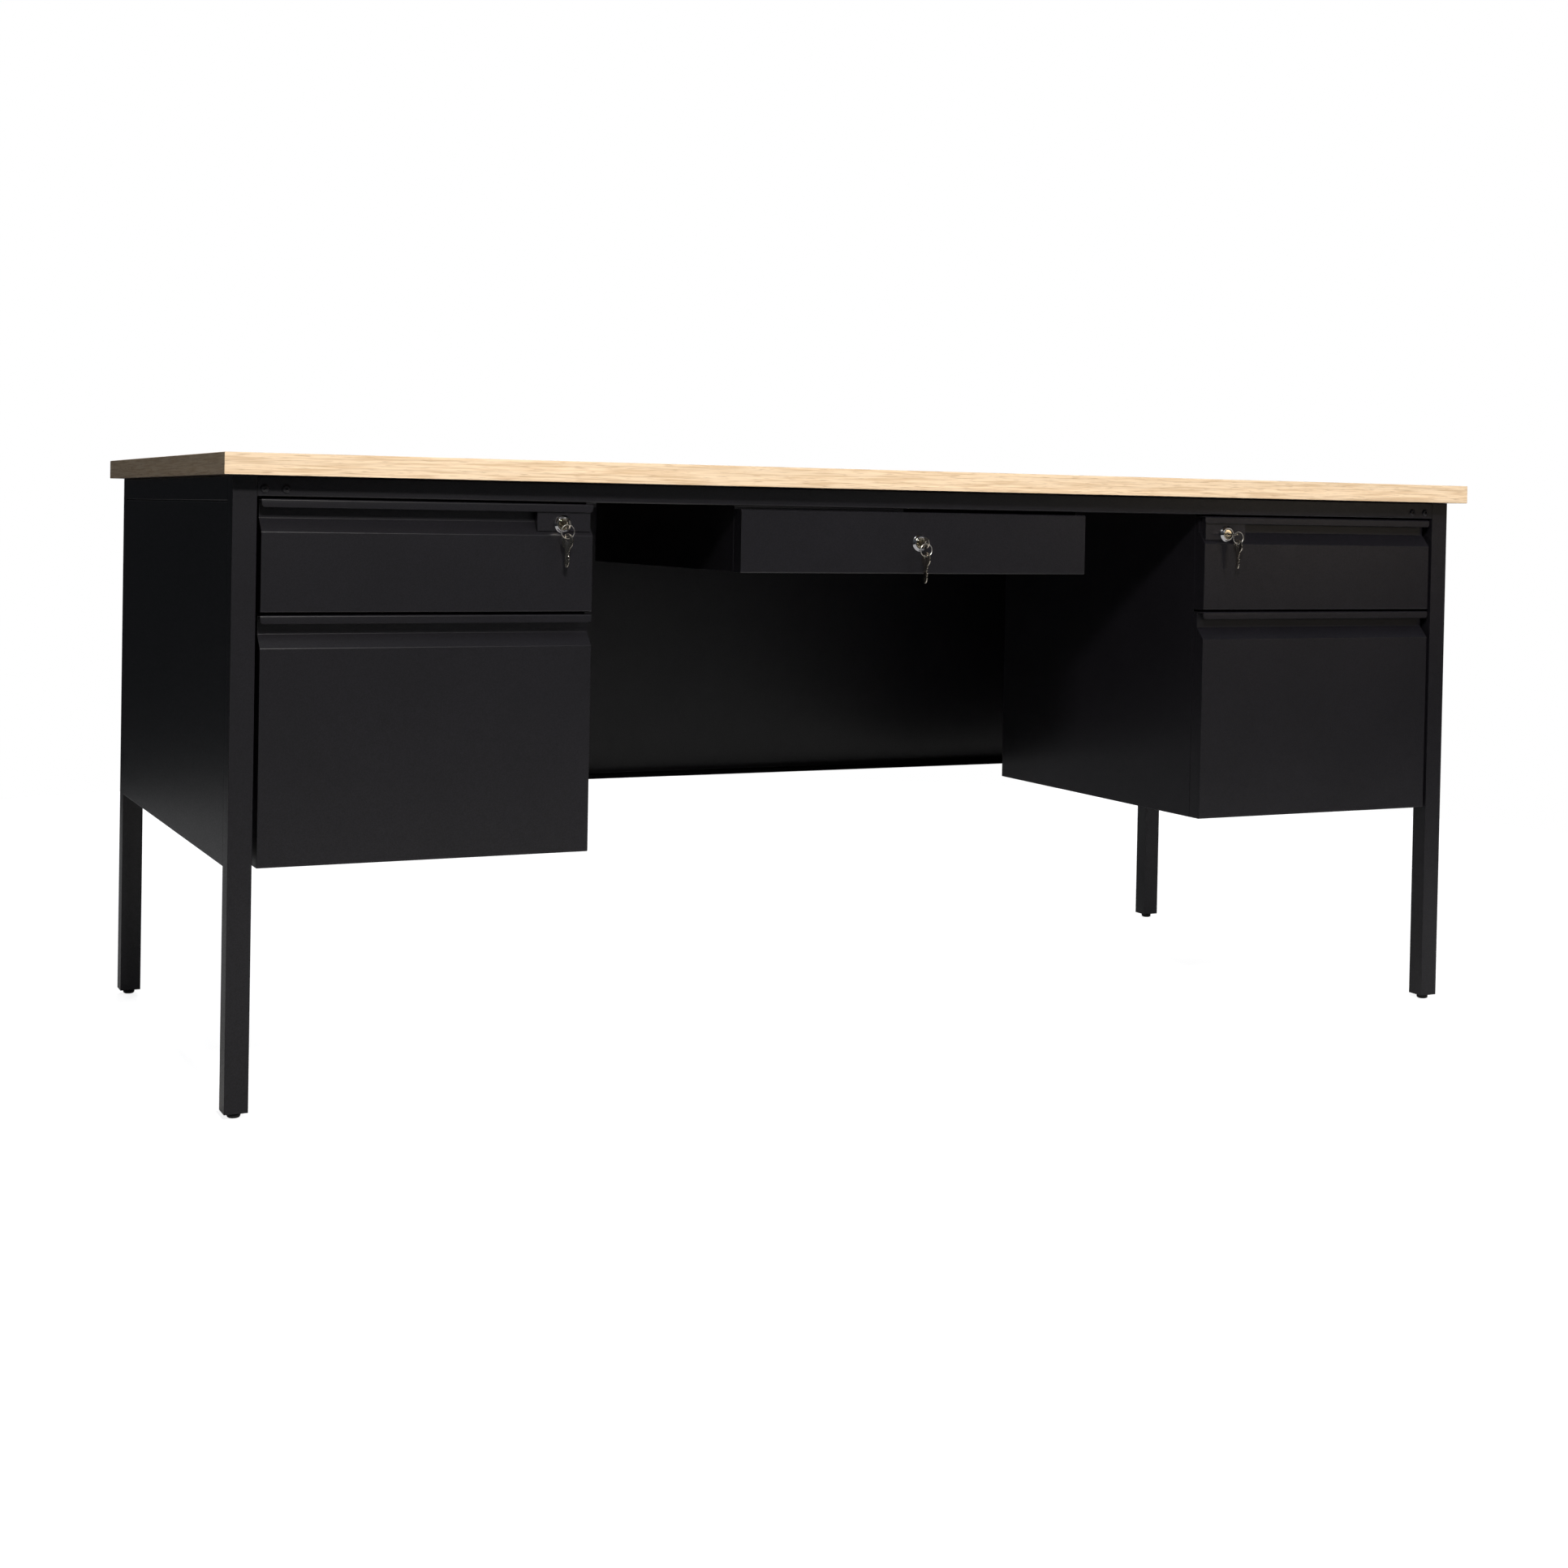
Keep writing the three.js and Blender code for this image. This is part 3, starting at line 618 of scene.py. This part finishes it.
def key_frame(origin, along, across):
    """A matrix that takes a key's own axes (along, across, through) to the desk's frame."""
    x, y = Vector(along), Vector(across)
    z = x.cross(y)
    return Matrix.Translation(origin) @ Matrix((x, y, z)).transposed().to_4x4()


def make_keys(lock):
    """The key in a lock, and the spare that hangs from its ring, with its cuts turned aside."""
    face = lock_axis(lock)
    bow_tip = face + OUT * KEY_OUT
    across = (1, 0, 0) if lock == "right" else (0, 0, 1)
    make_key(f"cut_key_{lock}", f"lock_{lock}", key_frame(bow_tip, (0, 1, 0), across), f"key_{lock}")
    ring_centre = Vector(JOINTS[f"spare_hang_{lock}"]["pos_m"])
    spare_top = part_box(f"spare_key_{lock}")[1].z
    turn = SPARE_TURN[lock]
    aside = (math.sin(turn), -math.cos(turn), 0)
    bow_top = Vector((ring_centre.x, ring_centre.y, spare_top))
    make_key(f"cut_spare_key_{lock}", f"spare_{lock}", key_frame(bow_top, (0, 0, -1), aside),
             f"spare_key_{lock}")


RING_WIRE = 0.42 * MM  # radius of the wire
RING_STEP = 0.46 * MM  # how far each turn lies beside the middle of the ring
RING_SPLIT = 0.6  # where the wire's ends are, in radians from +X
THIN_END, TAPER = 0.35, 4  # how thin the wire's ends are, and over how many steps they taper


def make_ring(lock):
    """A split ring: two turns of wire side by side, with tapered ends."""
    low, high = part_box(f"key_ring_{lock}")
    centre = (low + high) / 2
    radius = (high.z - low.z) / 2 - RING_WIRE
    turns, steps, sides = 2, 72, 10
    total = turns * steps
    form = bmesh.new()
    loops = []
    for k in range(total + 1):
        angle = 2 * math.pi * k / steps + RING_SPLIT
        shift = RING_STEP * (2 * k / total - 1)
        outward = Vector((math.cos(angle), 0, math.sin(angle)))
        thin = RING_WIRE * min(1.0, THIN_END + (1 - THIN_END) * min(k, total - k) / TAPER)
        loop = []
        for s in range(sides):
            around = 2 * math.pi * s / sides
            loop.append(form.verts.new(centre + outward * (radius + thin * math.cos(around))
                                       + Vector((0, shift + thin * math.sin(around), 0))))
        loops.append(loop)
    for one, two in zip(loops, loops[1:]):
        for s in range(sides):
            form.faces.new((one[s], one[s - 1], two[s - 1], two[s]))
    form.faces.new(loops[0])
    form.faces.new(loops[-1])
    new_piece(f"split_ring_{lock}", mesh_from(form, f"split_ring_{lock}"), f"ring_{lock}", "chrome",
              [f"key_ring_{lock}"], "ring_wire")


# ---- levelling glides ----
# the thread: radii of its crests, its roots and the stem's end, its pitch and its lowest crest
STEM = {"crest": 3.9 * MM, "root": 3.4 * MM, "end": 3.2 * MM, "pitch": 1.25 * MM, "from": 6.4 * MM}


def make_glide(corner):
    """A low, round nylon foot on a threaded stem."""
    node = f"glide_{corner}"
    low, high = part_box(node)
    centre = Vector(((low.x + high.x) / 2, (low.y + high.y) / 2, 0))
    foot, top = (high.x - low.x) / 2, high.z
    profile = rounded([
        (0, 0),
        (foot - 2.2 * MM, 0),
        (foot - 0.5 * MM, 1.1 * MM),
        (foot, 2.9 * MM),
        (foot, 3.9 * MM),
        (foot - 1.0 * MM, 5.0 * MM),
        (5.4 * MM, 5.9 * MM),
        (STEM["root"], 6.0 * MM),
    ], 1.0 * MM)
    height = STEM["from"]
    while height + STEM["pitch"] < top - 1 * MM:
        profile += [Vector((STEM["crest"], height)), Vector((STEM["root"], height + STEM["pitch"] / 2))]
        height += STEM["pitch"]
    profile += [Vector((STEM["end"], top)), Vector((0, top))]
    form = bmesh.new()
    lathe(form, profile, 40)
    mesh_data = mesh_from(form, f"levelling_foot_{corner}", Matrix.Translation(centre))
    new_piece(f"levelling_foot_{corner}", mesh_data, node, "glide_plastic", [node])


# ---- screws ----
HEAD, HEAD_HEIGHT = 5.0 * MM, 1.9 * MM  # radius and height of a head
SUNK = 0.3 * MM  # how far a head reaches into the rail behind it
SOCKET, SOCKET_DEEP = 1.672 * MM, 1.5 * MM  # from the axis to a flat, and the depth
SOCKET_RIM = 2.25 * MM  # radius where the socket's chamfer starts


def screw_form(form, origin, axis):
    """A low button head with a six-sided socket, standing on `origin` along `axis`."""
    own = bmesh.new()
    profile = rounded([
        (0, -SUNK),
        (HEAD, -SUNK),
        (HEAD, 0.45 * MM),
        (0.86 * HEAD, 0.72 * HEAD_HEIGHT),
        (0.6 * HEAD, HEAD_HEIGHT),
        (SOCKET_RIM, HEAD_HEIGHT),
    ], 0.5 * MM)
    lathe(own, profile, 36)
    rim = [v for v in own.verts if v.co.z > 0 and v.co.xy.length < SOCKET_RIM + SAME_POINT]
    rim.sort(key=lambda v: math.atan2(v.co.y, v.co.x))
    top, floor = [], []
    for v in rim:
        turn = math.atan2(v.co.y, v.co.x) % (math.pi / 3) - math.pi / 6
        flat = v.co.xy.normalized() * SOCKET / math.cos(turn)
        top.append(own.verts.new((flat.x, flat.y, HEAD_HEIGHT - 0.1 * MM)))
        floor.append(own.verts.new((flat.x, flat.y, HEAD_HEIGHT - SOCKET_DEEP)))
    for k in range(len(rim)):
        own.faces.new((rim[k - 1], rim[k], top[k], top[k - 1]))
        own.faces.new((top[k - 1], top[k], floor[k], floor[k - 1]))
    own.faces.new(floor)
    own.transform(along_axis(origin, axis))
    block = bpy.data.meshes.new("screw")
    own.to_mesh(block)
    own.free()
    form.from_mesh(block)
    bpy.data.meshes.remove(block)


SCREWS_FRONT_LEFT = (-863 * MM, -838 * MM)
SCREWS_FRONT_RIGHT = (857 * MM, 833 * MM)
SCREWS_REAR = (-858 * MM, -834 * MM, 858 * MM, 834 * MM)
SCREW_DROP = 3.0 * MM  # screws below the middle of a rail


def make_rail_screws():
    """Pairs of domed screws that hold each rail to its legs."""
    low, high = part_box("front_rail")
    level = (low.z + high.z) / 2 - SCREW_DROP
    form = bmesh.new()
    for x in SCREWS_FRONT_LEFT + SCREWS_FRONT_RIGHT:
        screw_form(form, Vector((x, low.y, level)), (0, -1, 0))
    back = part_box("rear_rail")[1].y
    for x in SCREWS_REAR:
        screw_form(form, Vector((x, back, level)), (0, 1, 0))
    new_piece("rail_screws", mesh_from(form, "rail_screws"), "frame", "black_powdercoat")


# ---- room, light and camera ----
FLOOR_REACH = 2.6  # a round sheet of white paper in a dark room
PAPER_GLOW = 0.86
ROOM_LOW = (0.016, 0.017, 0.019, 1)
ROOM_HIGH = (0.11, 0.12, 0.14, 1)


def make_floor():
    """The paper that the desk stands on."""
    form = bmesh.new()
    bmesh.ops.create_circle(form, cap_ends=True, segments=96, radius=FLOOR_REACH)
    mesh_data = bpy.data.meshes.new("floor")
    form.to_mesh(mesh_data)
    form.free()
    floor = bpy.data.objects.new("floor", mesh_data)
    bpy.context.scene.collection.objects.link(floor)
    pale = Finish("pale_floor", Specular_IOR_Level=0.1)
    cloud = pale.noise(0.8)
    paint(floor, pale.finish(pale.ramp(cloud, (0.3, grey(0.50)), (0.7, grey(0.54))),
                             pale.level(cloud, 0, 1, 0.8, 0.9)))
    # to the camera the paper also glows, up to the white of the backdrop
    seen = pale.node("ShaderNodeLightPath")
    glow = pale.node("ShaderNodeEmission", Color=(1.0, 1.0, 1.0, 1.0), Strength=PAPER_GLOW)
    lit = pale.node("ShaderNodeAddShader")
    shown = pale.node("ShaderNodeMixShader")
    links = pale.tree.links
    links.new(pale.shader.outputs[0], lit.inputs[0])
    links.new(glow.outputs[0], lit.inputs[1])
    links.new(seen.outputs["Is Camera Ray"], shown.inputs[0])
    links.new(pale.shader.outputs[0], shown.inputs[1])
    links.new(lit.outputs[0], shown.inputs[2])
    links.new(shown.outputs[0], pale.tree.nodes["Material Output"].inputs["Surface"])


def make_world():
    """White behind the desk, and a dark graded room for light and reflections."""
    world = bpy.data.worlds.new("studio")
    bpy.context.scene.world = world
    world.use_nodes = True
    tree = world.node_tree
    tree.nodes.clear()
    direction = tree.nodes.new("ShaderNodeTexCoord")
    axes = tree.nodes.new("ShaderNodeSeparateXYZ")
    tree.links.new(direction.outputs["Generated"], axes.inputs["Vector"])
    room_tone = tree.nodes.new("ShaderNodeValToRGB")
    stops = room_tone.color_ramp.elements
    stops[0].position, stops[0].color = 0.0, ROOM_LOW
    stops[1].position, stops[1].color = 0.9, ROOM_HIGH
    tree.links.new(axes.outputs["Z"], room_tone.inputs["Fac"])
    room = tree.nodes.new("ShaderNodeBackground")
    backdrop = tree.nodes.new("ShaderNodeBackground")
    tree.links.new(room_tone.outputs["Color"], room.inputs["Color"])
    backdrop.inputs["Color"].default_value = (1, 1, 1, 1)
    seen = tree.nodes.new("ShaderNodeLightPath")
    choice = tree.nodes.new("ShaderNodeMixShader")
    output = tree.nodes.new("ShaderNodeOutputWorld")
    tree.links.new(seen.outputs["Is Camera Ray"], choice.inputs[0])
    tree.links.new(room.outputs[0], choice.inputs[1])
    tree.links.new(backdrop.outputs[0], choice.inputs[2])
    tree.links.new(choice.outputs[0], output.inputs["Surface"])


def softbox(name, place, target, size, power, color, mirrored=True):
    """An area light; one that isn't `mirrored` lights surfaces without showing in their gloss."""
    light = bpy.data.lights.new(name, "AREA")
    light.shape, light.size, light.size_y = "RECTANGLE", *size
    light.energy, light.color = power, color
    lamp = bpy.data.objects.new(name, light)
    bpy.context.scene.collection.objects.link(lamp)
    lamp.location = place
    lamp.rotation_euler = (Vector(target) - Vector(place)).to_track_quat("-Z", "Y").to_euler()
    lamp.visible_glossy = mirrored


def make_lights():
    """One hard key from the front left, and weaker boxes that fill the shade and show in the gloss."""
    softbox("key_light", (-0.90, -2.25, 2.08), (0.1, -0.3, 0.6), (0.2, 0.2), 49, (1.0, 0.97, 0.94))
    softbox("fill_light", (1.7, -2.3, 2.5), (0.4, -0.3, 0.6), (0.9, 0.9), 56, (1.0, 0.97, 0.95), False)
    softbox("front_light", (1.7, -3.1, 1.15), (0.0, -0.3, 0.6), (2.8, 1.2), 1.5, (0.94, 0.95, 1.0))
    softbox("warm_card", (2.2, -2.3, 0.88), (0.5, -0.35, 0.68), (0.6, 0.36), 1.0, (1.0, 0.82, 0.60))
    softbox("back_light", (0.9, 3.9, 2.4), (0.0, 0.3, 0.45), (2.6, 1.6), 95, (1.0, 1.0, 1.0))
    softbox("upper_card", (-0.86, -1.25, 2.3), (-0.1, -0.4, 0.68), (0.6, 0.6), 2.4, (1.0, 0.99, 0.97))


CAMERA_PLACE = (-1.439, -2.8145, 0.7043)
HEADING, PITCH, ROLL = (math.radians(angle) for angle in (24.754, -0.964, 1.034))
LENS = 49.77
SHIFT = (0.0488, -0.1504)


def make_camera():
    """Stands in front of the left pedestal, just below the level of the top."""
    camera = bpy.data.cameras.new("camera")
    camera.lens = LENS
    camera.shift_x, camera.shift_y = SHIFT
    holder = bpy.data.objects.new("camera", camera)
    bpy.context.scene.collection.objects.link(holder)
    turn = (Matrix.Rotation(-HEADING, 4, "Z") @ Matrix.Rotation(math.pi / 2 + PITCH, 4, "X")
            @ Matrix.Rotation(ROLL, 4, "Z"))
    holder.matrix_world = Matrix.Translation(CAMERA_PLACE) @ turn
    bpy.context.scene.camera = holder
    bpy.context.scene.view_settings.view_transform = "Standard"


dress_cad()
for lock in LOCKS:
    make_lock_body(lock)
    make_plug(lock)
    make_keys(lock)
    make_ring(lock)
for end in ("front", "rear"):
    for side in SIDES:
        make_glide(f"{end}_{side}")
make_rail_screws()
make_floor()
make_world()
make_lights()
make_camera()
